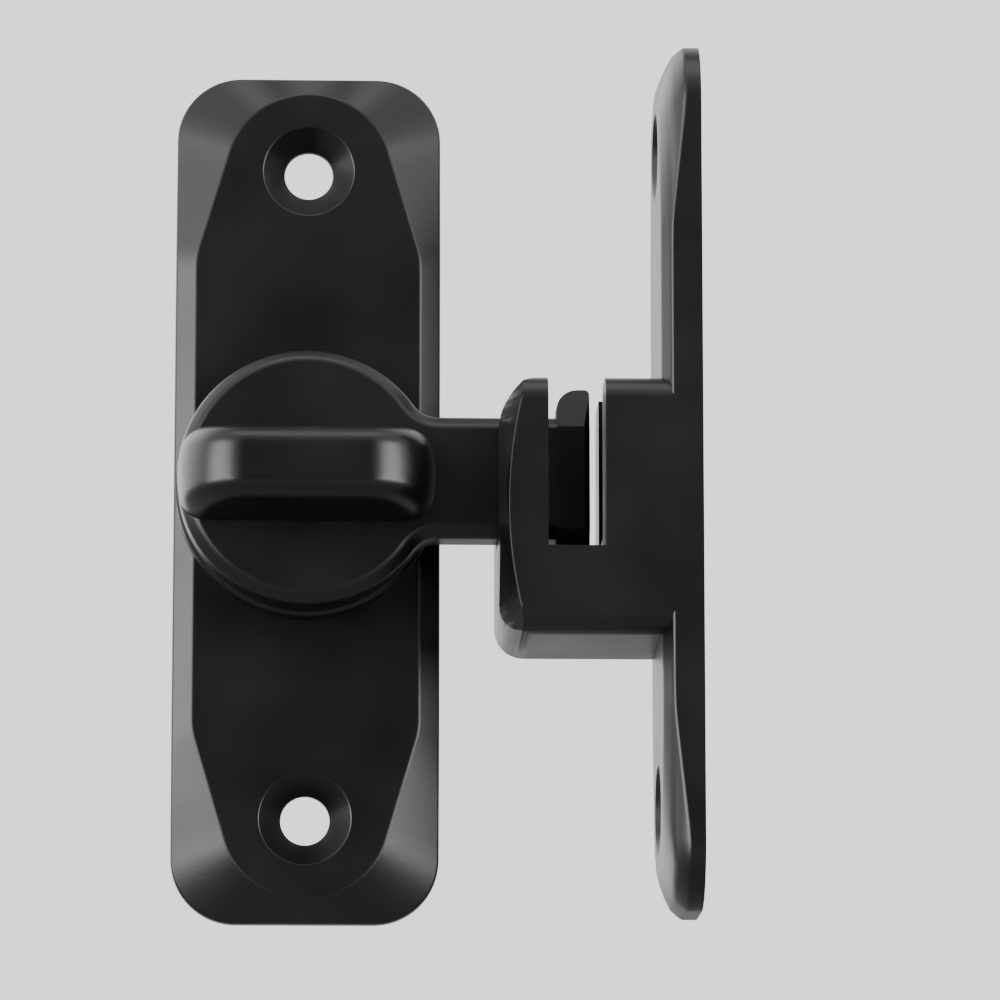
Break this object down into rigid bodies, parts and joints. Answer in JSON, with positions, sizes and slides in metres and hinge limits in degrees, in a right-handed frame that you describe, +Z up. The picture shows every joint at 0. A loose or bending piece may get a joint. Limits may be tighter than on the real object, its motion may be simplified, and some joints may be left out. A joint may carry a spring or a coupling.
{
  "type": "toggle bolt latch",
  "caption": "Flip latch for a sliding door: a thumb-turned toggle on a door plate drops its hammer head into a slotted strike on the jamb.",
  "frame": {"origin": "where the toggle's pivot axis meets the door's face, behind the base plate", "axes": "+X from the pivot towards the strike and the jamb, +Y into the door, +Z up along both plates"},
  "size_m": [0.0584, 0.0243, 0.097],
  "materials": {
    "plate_coating": "satin black coat on die-cast zinc",
    "toggle_coating": "satin black coat on die-cast zinc, slightly smoother where it is handled",
    "strike_coating": "satin black coat on die-cast zinc",
    "acetal": "natural white acetal, turned",
    "plated_steel": "bright zinc-plated steel, stamped",
    "plated_washer": "bright zinc-plated steel, stamped",
    "plated_screw": "bright zinc-plated steel, cold headed",
    "spring_steel": "oiled spring steel"
  },
  "bodies": {
    "plates": {"base_plate": "plate_coating", "pivot_bush": "acetal", "backing_washer": "plated_steel", "strike_plate": "strike_coating", "wave_washer": "spring_steel"},
    "toggle": {"toggle": "toggle_coating", "keyed_washer": "plated_washer", "retaining_screw": "plated_screw"}
  },
  "joints": [
    {"name": "toggle_swing", "type": "hinge", "parent": "plates", "child": "toggle", "pos_m": [0, 0, 0], "axis": [0, -1, 0], "range_deg": [0, 180]}
  ]
}
